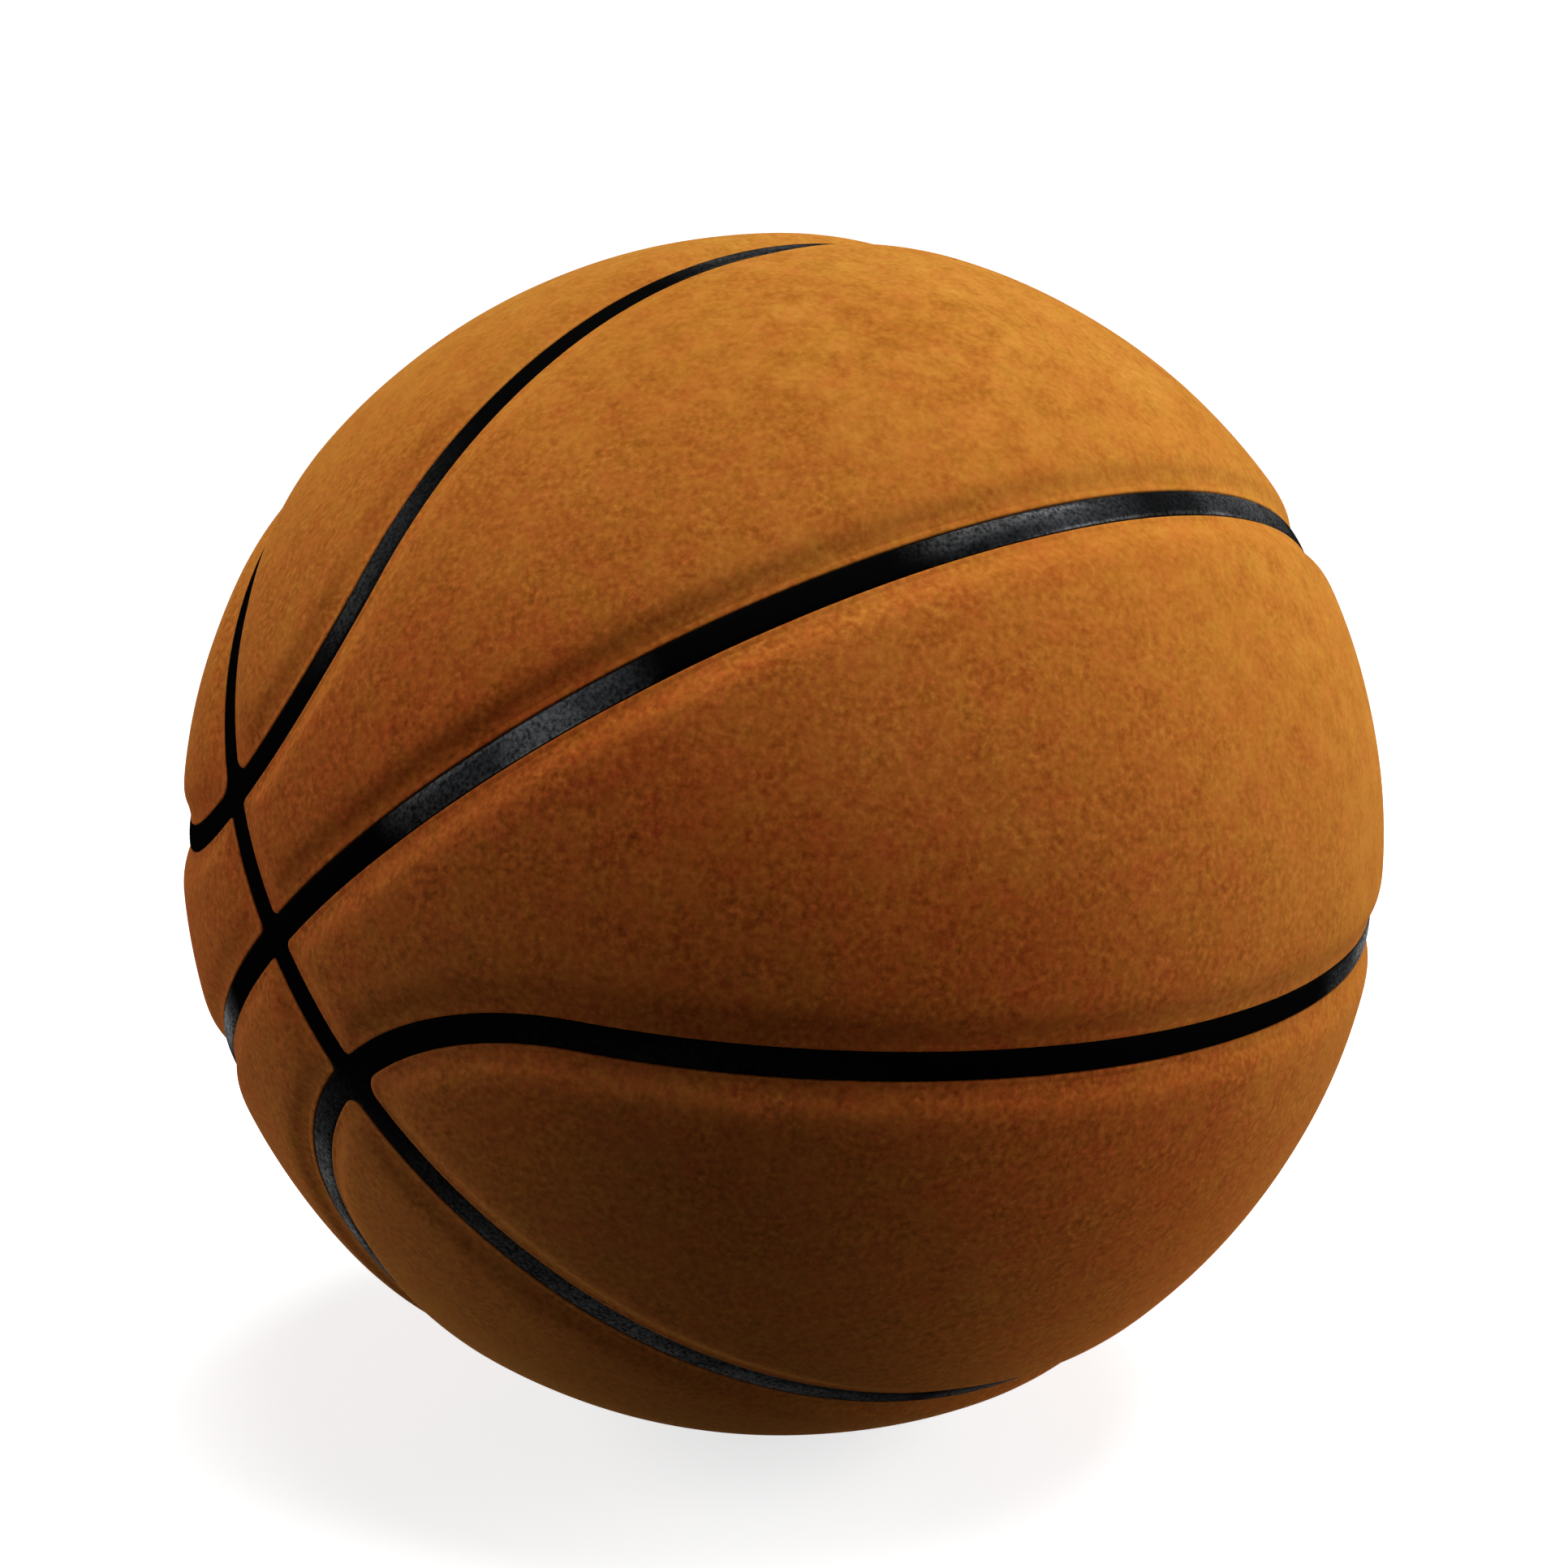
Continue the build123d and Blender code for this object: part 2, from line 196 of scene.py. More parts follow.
PLUG_RADIUS = 3.0
PLUG_BOTTOM = 95.4
TIP_CHAMFER = 0.6
HEAD_RADIUS = 3.7
HEAD_FLOOR = 118.9
HEAD_TOP = 120.2
NEEDLE_RADIUS = 1.0
NEEDLE_FLOOR = 105.2
MOUTH_RADIUS = 1.7
MOUTH_DEPTH = 0.6
PLUG_ROUNDING = 0.15
plug_section = [(0, PLUG_BOTTOM), (PLUG_RADIUS - TIP_CHAMFER, PLUG_BOTTOM),
                (PLUG_RADIUS, PLUG_BOTTOM + TIP_CHAMFER), (PLUG_RADIUS, HEAD_FLOOR),
                (HEAD_RADIUS, HEAD_FLOOR), (HEAD_RADIUS, HEAD_TOP), (MOUTH_RADIUS, HEAD_TOP),
                (NEEDLE_RADIUS, HEAD_TOP - MOUTH_DEPTH), (NEEDLE_RADIUS, NEEDLE_FLOOR),
                (0, NEEDLE_FLOOR)]
place_piece("valve_plug_visual", spun_rubber(plug_section, PLUG_ROUNDING), valve_rubber,
            "plug", ["valve_plug"])


# Thread winding
# Nylon thread, wound round the bladder in every direction and set in latex, so that the ball
# holds its size. It is a thin closed layer under the carcass.

# Wound nylon thread: off-white, laid side by side in patches that cross, with a faint shine.
# A Mix node's two numbers are its sockets 2 and 3, and the mixed number is its output 0.
THREAD_MM = 0.9
THREAD_PATCH_MM = 30
WAVE_PERIOD = 0.31
LAY_TURNS = ((0.3, 0.2, 0.0), (1.1, 0.7, 0.5), (0.2, 1.4, 1.0))
thread, tree, shader, place = new_finish("wound_nylon_thread")
patch = add(tree, "TexNoise", {"Vector": place, "Scale": lumps(THREAD_PATCH_MM)})
lays = []
for turn in LAY_TURNS:
    turned = add(tree, "Mapping", {"Vector": place, "Rotation": turn})
    lay = add(tree, "TexWave", {"Vector": turned.outputs["Vector"], "Distortion": 0.6,
                                "Scale": lumps(THREAD_MM) * WAVE_PERIOD})
    lays.append(lay.outputs["Fac"])
over = add(tree, "MapRange", {"Value": patch.outputs["Fac"], "From Min": 0.48, "From Max": 0.52})
under = add(tree, "MapRange", {"Value": patch.outputs["Fac"], "From Min": 0.58, "From Max": 0.62})
crossed = add(tree, "Mix", {FACTOR: over.outputs["Result"], 2: lays[0], 3: lays[1]})
crossed = add(tree, "Mix", {FACTOR: under.outputs["Result"], 2: crossed.outputs[0], 3: lays[2]})
tone = add(tree, "Mix", {FACTOR: crossed.outputs[0], FIRST: linear("#8d8775"),
                         SECOND: linear("#e4dfcf")}, data_type="RGBA")
round_thread = add(tree, "Bump", {"Height": crossed.outputs[0], "Strength": 0.6,
                                  "Distance": 0.0004})
feed(tree, shader, {"Base Color": tone.outputs[MIXED], "Normal": round_thread.outputs["Normal"],
                    "Roughness": 0.55})
finish_node("thread_winding", thread)


# Carcass with its ribs
# A black rubber shell vulcanised over the winding. Its ribs stand up between the cover panels,
# along two great circles and two closed loops, and are the black lines of the ball.
POLE_GAP = math.radians(13.57)
LOOP_TILT = math.radians(45)
END_RADIUS = math.atan2(math.sin(POLE_GAP) * math.sin(LOOP_TILT),
                        1 - math.cos(POLE_GAP) * math.sin(LOOP_TILT))
END_PLACE = POLE_GAP + END_RADIUS
LOOP_SIDE = Vector((math.sin(LOOP_TILT), 0, -math.cos(LOOP_TILT)))
EQUATOR = Vector((0, 0, 1))
CROSS = Vector((1, 0, 0))
QUARTERS = [Matrix.Identity(3)] + [Matrix.Rotation(math.pi, 3, axis) for axis in "XYZ"]
# The steps along the arcs of a panel's outline, in the order that seam_circles gives them.
ARC_STEPS = {"band": (4, 8, 4, 18, 82, 18, 4, 8, 4, 118), "side": (4, 18, 82, 18, 4, 78)}
SMOOTHINGS = 6
SEAM_REACH = 12.4
CUT_MARGIN = 1.2
RIM_STEPS = 64


def seam_circles(kind, inset, corner):
    """The circles that bound a cover panel, as (axis, angle): its edges, joined by its corners.
    The inset is the angle from the middle of the seams, and a corner is an angle too."""
    square = math.pi / 2 - inset
    height = math.sin(inset + corner)
    turned_in = 1 if kind == "band" else -1
    near = math.cos(END_RADIUS + turned_in * (inset + corner))
    ends = []
    for sign in (1, -1):
        end = Vector((math.sin(END_PLACE), sign * math.cos(END_PLACE), 0))
        along = Vector((-end.y, end.x, 0)) * sign
        corner_middle = end * near + along * math.sqrt(1 - near * near - height * height)
        corner_middle.z = height
        circles = [(corner_middle, corner), (end, END_RADIUS + turned_in * inset)]
        if kind == "band":
            pole = Vector((height, sign * math.sqrt(1 - 2 * height * height), height))
            circles = [(pole, corner), (EQUATOR, square)] + circles
        ends.append(circles)
    across, foot = (-LOOP_SIDE, CROSS) if kind == "band" else (LOOP_SIDE, EQUATOR)
    return ends[0] + [(across, square)] + ends[1][::-1] + [(foot, square)]


def outline(kind, inset, corner, fineness):
    """A panel's outline as unit vectors, arc after arc; each arc starts where its circles
    touch."""
    circles = seam_circles(kind, inset, corner)

    def touch(one, two):
        (axis, reach), (other, _) = sorted((one, two), key=lambda circle: -circle[1])
        way = (other - axis * axis.dot(other)).normalized()
        return axis * math.cos(reach) + way * math.sin(reach)

    points = []
    for i, (axis, reach) in enumerate(circles):
        steps = ARC_STEPS[kind][i] * fineness
        start = touch(circles[i - 1], circles[i])
        stop = touch(circles[i], circles[(i + 1) % len(circles)])
        one = (start - axis * axis.dot(start)).normalized()
        two = (stop - axis * axis.dot(stop)).normalized()
        square = (two - one * one.dot(two)).normalized()
        sweep = math.acos(max(-1, min(1, one.dot(two))))
        for k in range(steps):
            angle = sweep * k / steps
            round_arc = one * math.cos(angle) + square * math.sin(angle)
            points.append(axis * math.cos(reach) + round_arc * math.sin(reach))
    return points


def fill(bm, kind, ring, level, fineness):
    """Fills an outline with a grid of faces, whose threads run over the ball from its long side
    at the foot to the one across. Gives the new points."""
    steps = [count * fineness for count in ARC_STEPS[kind]]
    half = steps[0] // 2
    if kind == "band":
        starts, width = (half, sum(steps[:6]) + half), 2 * half + steps[1]
    else:
        starts, width = (half, sum(steps[:3])), half + steps[1]
    edges = {frozenset(edge.verts): edge for vert in ring for edge in vert.link_edges}
    short = [edges[frozenset((ring[i], ring[i + 1]))]
             for start in starts for i in range(start, start + width)]
    filled = bmesh.ops.grid_fill(bm, edges=short, use_interp_simple=True)
    middle = {v for f in filled["faces"] for v in f.verts} - set(ring)
    foot = len(ring) - steps[-1] - half
    for i in range(foot + 1, foot + steps[-1] + 2 * half):
        start = vert = ring[i % len(ring)]
        line = []
        edge = next(e for e in vert.link_edges if e.other_vert(vert) in middle)
        while edge.other_vert(vert) in middle:
            vert = edge.other_vert(vert)
            line.append(vert)
            edge = next(e for e in vert.link_edges
                        if not set(e.link_faces) & set(edge.link_faces))
        stop = edge.other_vert(vert)
        for k, vert in enumerate(line, 1):
            vert.co = start.co.lerp(stop.co, k / (len(line) + 1))
    middle = list(middle)
    for _ in range(SMOOTHINGS):
        bmesh.ops.smooth_vert(bm, verts=middle, factor=0.5, use_axis_x=True, use_axis_y=True,
                              use_axis_z=True)
        for vert in middle:
            vert.co = vert.co.normalized() * level
    return middle


def draw_out(bm, edges):
    """Draws a row of edges out into new faces. Gives the points and edges of the new row."""
    drawn = bmesh.ops.extrude_edge_only(bm, edges=edges)["geom"]
    points = [v for v in drawn if isinstance(v, bmesh.types.BMVert)]
    fresh = set(points)
    return points, [e for e in drawn if isinstance(e, bmesh.types.BMEdge)
                    and e.verts[0] in fresh and e.verts[1] in fresh]


def skin(bm, kind, quarter, rings, fineness, closed_below=True):
    """One panel-shaped skin: rings of (inset, level, corner) in millimetres, drawn out one from
    the next and filled in the middle, in one quarter of the ball. Each point keeps its distance
    from the seam."""
    from_seam = bm.verts.layers.float.get("from_seam") or bm.verts.layers.float.new("from_seam")
    turn = QUARTERS[quarter]
    row, edges = [], []
    for inset, level, corner in rings:
        points = [turn @ p * level
                  for p in outline(kind, inset / level, corner / level, fineness)]
        if not row:
            row = [bm.verts.new(p) for p in points]
            edges = [bm.edges.new(pair) for pair in zip(row, row[1:] + row[:1])]
            first_row = row
        else:
            drawn, edges = draw_out(bm, edges)
            fresh = set(drawn)
            row = [next(w for w in (e.other_vert(v) for e in v.link_edges) if w in fresh)
                   for v in row]
            for vert, point in zip(row, points):
                vert.co = point
        for vert in row:
            vert[from_seam] = inset
    ends = [(row, rings[-1])] + ([(first_row, rings[0])] if closed_below else [])
    for end, (inset, level, _) in ends:
        for vert in fill(bm, kind, end, level, fineness):
            vert[from_seam] = inset


def pierce(bm, rim):
    """Cuts the valve's hole through a double skin: opens both skins and joins them by a rim of
    (radius, height) rings about the valve's axis, from the outer skin to the inner one."""
    from_seam = bm.verts.layers.float["from_seam"]
    reach = rim[0][0] + CUT_MARGIN

    def off_axis(point):
        return (point - valve_way * point.dot(valve_way)).length

    near = [f for f in bm.faces if f.calc_center_median().dot(valve_way) > 0
            and off_axis(f.calc_center_median()) < reach]
    bmesh.ops.delete(bm, geom=near, context="FACES")
    between = (rim[0][1] + rim[-1][1]) / 2
    open_edges = [e for e in bm.edges if e.is_boundary]
    outer = [e for e in open_edges if e.verts[0].co.length > between]
    inner = [e for e in open_edges if e.verts[0].co.length <= between]
    rows = []
    for radius, height in rim:
        if not rows:
            row = bmesh.ops.create_circle(bm, segments=RIM_STEPS, radius=radius)["verts"]
            edges = list({e for v in row for e in v.link_edges})
        else:
            row, edges = draw_out(bm, edges)
        for vert in row:
            flat = Vector((vert.co.x, vert.co.y, 0)).normalized() * radius
            vert.co = (flat.x, flat.y, height)
            vert[from_seam] = radius - rim[-1][0] + SEAM_REACH
        rows.append((row, edges))
    bmesh.ops.transform(bm, matrix=valve_turn, verts=[v for row, _ in rows for v in row])
    bmesh.ops.bridge_loops(bm, edges=outer + rows[0][1])
    bmesh.ops.bridge_loops(bm, edges=inner + rows[-1][1])
    for vert in {v for e in outer + inner for v in e.verts}:
        vert[from_seam] = SEAM_REACH


def near_spots(tree, place, spots):
    """How close a point is to some spots on the ball, each given as its place, its reach and its
    share: the share at the spot itself, which falls to nothing at its reach."""
    closest = 0.0
    for spot, reach, share in spots:
        off = add(tree, "VectorMath", {0: place, 1: Vector(spot) / MM_IN_METRE},
                  operation="DISTANCE")
        close = add(tree, "MapRange", {"Value": off.outputs["Value"],
                                       "From Max": reach / MM_IN_METRE, "To Min": share,
                                       "To Max": 0.0}, interpolation_type="SMOOTHSTEP")
        closest = add(tree, "Math", {0: closest, 1: close.outputs["Result"]},
                      operation="MAXIMUM").outputs[0]
    return closest


# Vulcanised rubber: a dead black skin, polished in a few places by hands and by the ground, where
# it glints in flecks; there its colour is also painted lighter and blue-grey, a painted
# reflection.
# The last three spots, at the back, are guessed.
FLECK_MM = 0.7
HANDLED_MM = 12
POLISH_AND_SHEEN_SPOTS = (((-36, -107, 38), 20, 1.0), ((-53, -103, 27), 19, 0.3), ((44, -87, 68), 31, 0.46),
            ((82, -52, 69), 40, 0.27), ((-20, -90, -75), 80, 0.12), ((-82, -64, -58), 44, 0.22),
            ((-68, -74, 64), 30, 0.15), ((-105, -49, -28), 18, 0.2), ((112, -42, -14), 32, 0.18),
            ((-8, -28, 115), 24, 0.16), ((45, -52, -98), 38, 0.12), ((30, 90, 72), 40, 0.5),
            ((-70, 90, -34), 44, 0.4), ((96, 60, -40), 36, 0.3))
rib_rubber, tree, shader, place = new_finish("vulcanised_black_rubber")
fleck = add(tree, "TexNoise", {"Vector": place, "Scale": lumps(FLECK_MM), "Detail": 3,
                               "Roughness": 0.6})
handled = add(tree, "TexNoise", {"Vector": place, "Scale": lumps(HANDLED_MM), "Detail": 3})
uneven = add(tree, "MapRange", {"Value": handled.outputs["Fac"], "From Min": 0.35,
                                "From Max": 0.65, "To Min": 0.5, "To Max": 1.2})
glint = add(tree, "MapRange", {"Value": fleck.outputs["Fac"], "From Min": 0.36,
                               "From Max": 0.64, "To Min": 0.15, "To Max": 1.5})
rubbed = add(tree, "Math", {0: near_spots(tree, place, POLISH_AND_SHEEN_SPOTS), 1: uneven.outputs["Result"]},
             operation="MULTIPLY")
polish = add(tree, "Math", {0: rubbed.outputs[0], 1: glint.outputs["Result"]},
             operation="MULTIPLY")
# At the polished spots the colour is painted lighter and blue-grey, a painted reflection of the
# lamps; the coat's gloss there is real.
tone = add(tree, "Mix", {FACTOR: rubbed.outputs[0], FIRST: linear("#070707"),
                         SECOND: linear("#262a30")}, data_type="RGBA")
pebbled = add(tree, "Bump", {"Height": fleck.outputs["Fac"], "Strength": 0.4,
                             "Distance": 0.0001})
feed(tree, shader, {"Base Color": tone.outputs[MIXED], "Coat Weight": polish.outputs[0],
                    "Normal": pebbled.outputs["Normal"], "Roughness": 0.5, "IOR": 1.52,
                    "Specular IOR Level": 0.0, "Coat Roughness": 0.22})

# A rib's section goes from its middle outwards, with the drop from its top. Between the ribs lies
# the bed, the carcass's face under a panel.
RIB_HALF = 2.56
RIB_TOP = 119.42
RIB_CORNERS = {"side": 3.45, "band": 1.55}
RIB_SECTION = ((0.0, 0.0), (0.7, 0.008), (1.3, 0.03), (1.8, 0.075), (2.12, 0.14), (2.34, 0.25),
               (2.48, 0.42), (2.54, 0.65), (RIB_HALF, 0.95))
LEAST_CORNER = 0.01
CARCASS_FACE = 117.4
CARCASS_LINING = 116.2
LINING_CUTS = 6
BED_INSET = 7.0
BED_ROUNDER = 2
RIB_WELD = 0.04
NECK_HOLE = 4.65
HOLE_REACH = 7.0
bm = bmesh.new()
for kind, corner in RIB_CORNERS.items():
    rings = [(inset, RIB_TOP - drop, LEAST_CORNER + corner * (inset / RIB_HALF) ** 2)
             for inset, drop in RIB_SECTION]
    rings += [(RIB_HALF, CARCASS_FACE, corner), (BED_INSET, CARCASS_FACE, corner + BED_ROUNDER)]
    for quarter in range(len(QUARTERS)):
        skin(bm, kind, quarter, rings, 1, closed_below=False)
bmesh.ops.remove_doubles(bm, verts=bm.verts, dist=RIB_WELD)
bmesh.ops.recalc_face_normals(bm, faces=bm.faces)
lining = bmesh.ops.create_icosphere(bm, subdivisions=LINING_CUTS, radius=CARCASS_LINING)["verts"]
bmesh.ops.reverse_faces(bm, faces=list({f for v in lining for f in v.link_faces}))
pierce(bm, [dome(HOLE_REACH, CARCASS_FACE), dome(NECK_HOLE, CARCASS_FACE),
            dome(NECK_HOLE, CARCASS_LINING), dome(HOLE_REACH, CARCASS_LINING)])
place_piece("carcass_visual", bm, rib_rubber, "ball", ["carcass"])


# Foam pads
# A sheet of sponge rubber, cut to each panel and cemented to the carcass under it, so that the
# cover gives under the hand. It thins towards the seams, where the cover is pressed down.
VALLEY_STEPS = ((0.22, 4.2, 1.6), (1.0, 6.2, 1.7), (0.56, 8.0, 2.4))
BAND_MOUTH = 28.6
MOUTH_SLACK = 0.5
CORNER_GROWTH = 0.5


def pressed(inset):
    """How far the cover lies below the ball's crown, that far from the middle of a seam: the edge,
    the crease along the pad and the shoulder above it, each with its depth, place and spread."""
    return sum(depth / 2 * (1 - math.erf((inset - middle) / spread))
               for depth, middle, spread in VALLEY_STEPS)


def rounded(kind, edge_corner, edge, inset):
    """A corner's radius that far in: it grows with the distance, as far as the band's ends have
    room."""
    grown = edge_corner + CORNER_GROWTH * (inset - edge)
    return min(grown, BAND_MOUTH / 2 - inset - MOUTH_SLACK) if kind == "band" else grown


# Sponge rubber: open cells under a millimetre across, matt and cream.
CELL_MM = 0.8
sponge, tree, shader, place = new_finish("cut_sponge_rubber")
cells = add(tree, "TexVoronoi", {"Vector": place, "Scale": lumps(CELL_MM)})
tone = add(tree, "Mix", {FACTOR: cells.outputs["Distance"], FIRST: linear("#8f8468"),
                         SECOND: linear("#e6dcc0")}, data_type="RGBA")
pitted = add(tree, "Bump", {"Height": cells.outputs["Distance"], "Strength": 0.5,
                            "Distance": 0.0003})
feed(tree, shader, {"Base Color": tone.outputs[MIXED], "Normal": pitted.outputs["Normal"],
                    "Roughness": 0.92})

# The valve comes up through the second band pad and the panel over it.
VALVE_PIECE = ("band", 1)
PAD_FLOOR = 117.5
PAD_TOP = 119.5
PAD_EDGE = 4.3
PAD_CORNER = 2.0
PAD_INSETS = (PAD_EDGE, 5.0, 6.0, 7.0, 8.0, 9.0, 10.5, SEAM_REACH)
for kind in ("side", "band"):
    rings = [(SEAM_REACH, PAD_FLOOR, rounded(kind, PAD_CORNER, PAD_EDGE, SEAM_REACH)),
             (PAD_EDGE, PAD_FLOOR, PAD_CORNER)]
    rings += [(inset, PAD_TOP - pressed(inset), rounded(kind, PAD_CORNER, PAD_EDGE, inset))
              for inset in PAD_INSETS]
    for quarter in range(len(QUARTERS)):
        bm = bmesh.new()
        skin(bm, kind, quarter, rings, 1)
        bmesh.ops.recalc_face_normals(bm, faces=bm.faces)
        if (kind, quarter) == VALVE_PIECE:
            pierce(bm, [dome(HOLE_REACH, PAD_TOP), dome(NECK_HOLE, PAD_TOP),
                        dome(NECK_HOLE, PAD_FLOOR), dome(HOLE_REACH, PAD_FLOOR)])
            bmesh.ops.recalc_face_normals(bm, faces=bm.faces)
        node = f"{kind}_pad_{quarter + 1}"
        pad = place_piece(node + "_visual", bm, sponge, "ball", [node])


# Cover panels
# Eight panels of split leather with a buffed suede face, cut to the seams, skived and cemented
# down over the pads. Their edges turn down into the valley beside each rib.
def mottles(tree, patterns):
    """The sum of some noises, each with its share, about nought."""
    total = -sum(share for _, share in patterns) / 2
    for pattern, share in patterns:
        total = add(tree, "Math", {0: pattern.outputs["Fac"], 1: share, 2: total},
                    operation="MULTIPLY_ADD").outputs[0]
    return total


# Buffed suede: a short nap that scatters light, mottled in tufts and clouds. It took its dye
# unevenly, so its hue wanders. Light and shade are painted into its colour: the side towards the
# lamps is painted tan, as a painted highlight, the middle is russet, and the underside a duller
# brown, as painted shade.
# The tufts are drawn coarser than a real nap, so that they show. The scuffs are where hands and
# the ground have smudged the nap, and the last of them, at the back, is guessed.
NAP_MM = 0.6
TUFT_MM = 1.2
BRUSH_MM = 6.0
CLOUD_MM = 32
DYE_MM = 9
# The way towards the lamps, and the tones from the painted shade underneath to the painted light
# on the side towards them.
LIT_SIDE_WAY = (0.36, 0.67, 0.65)
HIDE_TONES_AND_PAINTED_LIGHT = ((0.0, "#a9602a"), (0.16, "#ad5721"), (0.28, "#b0551e"), (0.42, "#b56323"),
             (0.72, "#b06b24"), (1.0, "#aa6d26"))
SCUFFED = (((14, -66, 101), 52, 1.0), ((96, -60, 40), 40, 0.5), ((-30, 70, 94), 56, 0.8))
leather, tree, shader, place = new_finish("buffed_suede_leather")
nap = add(tree, "TexNoise", {"Vector": place, "Scale": lumps(NAP_MM), "Detail": 2})
tuft = add(tree, "TexNoise", {"Vector": place, "Scale": lumps(TUFT_MM), "Detail": 2,
                              "Roughness": 0.5})
brush = add(tree, "TexNoise", {"Vector": place, "Scale": lumps(BRUSH_MM), "Detail": 3,
                               "Roughness": 0.6})
cloud = add(tree, "TexNoise", {"Vector": place, "Scale": lumps(CLOUD_MM), "Detail": 3})
dye = add(tree, "TexNoise", {"Vector": place, "Scale": lumps(DYE_MM), "Detail": 5,
                             "Roughness": 1.0})
# Painted light and shade: how far a point lies towards the lamps sets the leather's tone, tan
# where lit and duller brown underneath.
to_light = add(tree, "VectorMath", {0: place, 1: LIT_SIDE_WAY}, operation="DOT_PRODUCT")
drift = add(tree, "Math", {0: cloud.outputs["Fac"], 1: 0.03, 2: -0.015},
            operation="MULTIPLY_ADD")
lit = add(tree, "Math", {0: to_light.outputs["Value"], 1: drift.outputs[0]}, operation="ADD")
painted_light_share = add(tree, "MapRange", {"Value": lit.outputs[0], "From Min": -0.115, "From Max": 0.06})
hide_and_painted_light = add(tree, "ValToRGB", {"Fac": painted_light_share.outputs["Result"]})
stops = hide_and_painted_light.color_ramp.elements
for fade, _ in HIDE_TONES_AND_PAINTED_LIGHT[1:-1]:
    stops.new(fade)
for stop, (_, colour) in zip(stops, HIDE_TONES_AND_PAINTED_LIGHT):
    stop.color = linear(colour)
# The grain is painted calmer on the side towards the lamps, as in a highlight, and the darker
# tufts there are painted redder.
grain_calmed_by_painted_light = add(tree, "MapRange", {"Value": painted_light_share.outputs["Result"], "From Min": 0.2,
                              "From Max": 0.7, "To Min": 1.0, "To Max": 0.28})
clump = add(tree, "MapRange", {"Value": brush.outputs["Fac"], "From Min": 0.35,
                               "From Max": 0.65, "To Min": 1.25, "To Max": 0.6})
calm = add(tree, "Math", {0: grain_calmed_by_painted_light.outputs["Result"], 1: clump.outputs["Result"]},
           operation="MULTIPLY")
grain = mottles(tree, ((nap, 0.12), (tuft, 1.3)))
stain = mottles(tree, ((brush, 0.28), (cloud, 0.2)))
smudge = add(tree, "MapRange", {"Value": brush.outputs["Fac"], "From Min": 0.62,
                                "From Max": 0.3, "To Min": 0.0, "To Max": -0.09})
scuff = add(tree, "Math", {0: near_spots(tree, place, SCUFFED), 1: smudge.outputs["Result"],
                           2: stain}, operation="MULTIPLY_ADD")
mottle = add(tree, "Math", {0: grain, 1: calm.outputs[0], 2: scuff.outputs[0]},
             operation="MULTIPLY_ADD")
wander = add(tree, "MapRange", {"Value": dye.outputs["Fac"], "To Min": 0.47, "To Max": 0.53})
dyed = add(tree, "HueSaturation", {"Color": hide_and_painted_light.outputs["Color"],
                                   "Hue": wander.outputs["Result"]})
paler = add(tree, "Math", {0: mottle.outputs[0], 1: painted_light_share.outputs["Result"]},
            operation="MULTIPLY")
redder = add(tree, "Math", {0: 1.0, 1: paler.outputs[0]}, operation="SUBTRACT")
tufted = add(tree, "Gamma", {"Color": dyed.outputs["Color"], "Gamma": redder.outputs[0]})
lighter = add(tree, "Math", {0: mottle.outputs[0], 1: 1.0}, operation="ADD")
mottled = add(tree, "Mix", {FACTOR: 1.0, FIRST: tufted.outputs["Color"],
                            SECOND: lighter.outputs[0]}, data_type="RGBA", blend_type="MULTIPLY")
fuzz = add(tree, "Bump", {"Height": tuft.outputs["Fac"], "Strength": 0.3, "Distance": 0.00012})
feed(tree, shader, {"Base Color": mottled.outputs[MIXED], "Normal": fuzz.outputs["Normal"],
                    "Roughness": 0.9, "Specular IOR Level": 0.04, "Sheen Weight": 0.2,
                    "Sheen Roughness": 0.5, "Sheen Tint": linear("#ffb84c")})

# The lip is rounded from the edge inwards, and the rim at the valve from the crown downwards.
# The face waves a little, and a faint line is pressed into it along the seams, deeper in places.
CROWN = 121.0
LEATHER = 1.4
PANEL_EDGE = 2.63
PANEL_FOOT = 117.56
FOOT_RISE = 0.15
PANEL_CORNERS = {"side": 3.2, "band": 1.3}
UNDER_INSETS = (SEAM_REACH, 9.5, 7.5, 6.0, 4.8, 3.8, 3.0)
LIP_ROUNDING = ((0.0, 0.32), (0.03, 0.15), (0.12, 0.04))
FACE_INSETS = (2.95, 3.2, 3.4, 3.55, 3.7, 3.85, 4.0, 4.15, 4.35, 4.6, 5.0, 5.4, 5.8, 6.2, 6.6,
               7.0, 7.5, 8.1, 8.8, 9.7, 10.9, SEAM_REACH)
FINENESS = 2
VALVE_RIM = ((7.5, 0.0), (5.6, 0.01), (5.2, 0.06), (4.9, 0.17), (4.72, 0.36), (NECK_HOLE, 0.6),
             (NECK_HOLE, LEATHER), (7.5, LEATHER))
UNEVEN = 0.12
UNEVEN_MM = 24
WAVE_CREST = 0.5
LINE_PLACE = 3.85
LINE_WIDTH = 0.3
LINE_DEPTH = 0.07
LINE_SHARE = 0.6
LINE_SWING = 1.2
